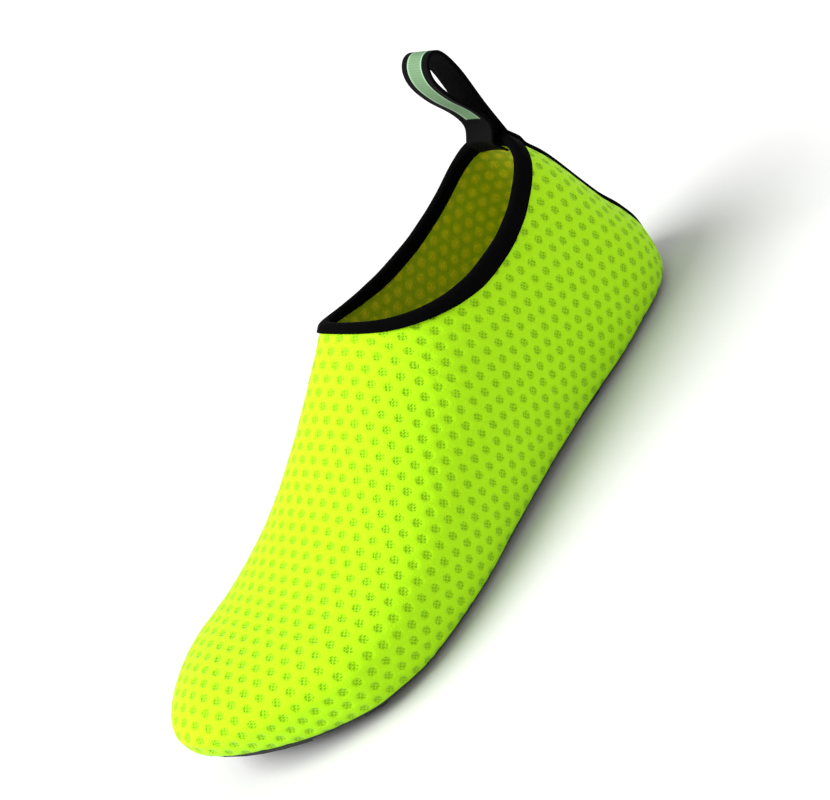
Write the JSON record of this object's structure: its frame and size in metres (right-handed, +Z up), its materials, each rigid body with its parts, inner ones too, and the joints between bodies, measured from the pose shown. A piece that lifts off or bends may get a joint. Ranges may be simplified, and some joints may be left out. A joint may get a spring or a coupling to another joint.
{
  "type": "water shoe",
  "caption": "Pull-on water shoe for the left foot: a thin stretchy cloth upper with a bound collar and a heel pull loop, on a thin moulded rubber sole with round lugs.",
  "frame": {"origin": "on the floor, at the middle of the round lug under the heel, in the heel's flat tread", "axes": "+X to the toe, +Y to the wearer's left (the outer side of this left shoe), +Z up"},
  "size_m": [0.2512, 0.0946, 0.1233],
  "materials": {
    "sole_rubber": "matt moulded rubber",
    "insole_foam": "cloth-faced soft foam",
    "upper_cloth": "stretch knit with round mesh dimples",
    "binding_cloth": "soft stretch tape",
    "webbing": "woven tape with a pale reflective stripe"
  },
  "bodies": {
    "root": {"outsole": "sole_rubber", "insole": "insole_foam", "upper": "upper_cloth", "collar_binding": "binding_cloth", "heel_webbing": "webbing"}
  },
  "joints": []
}
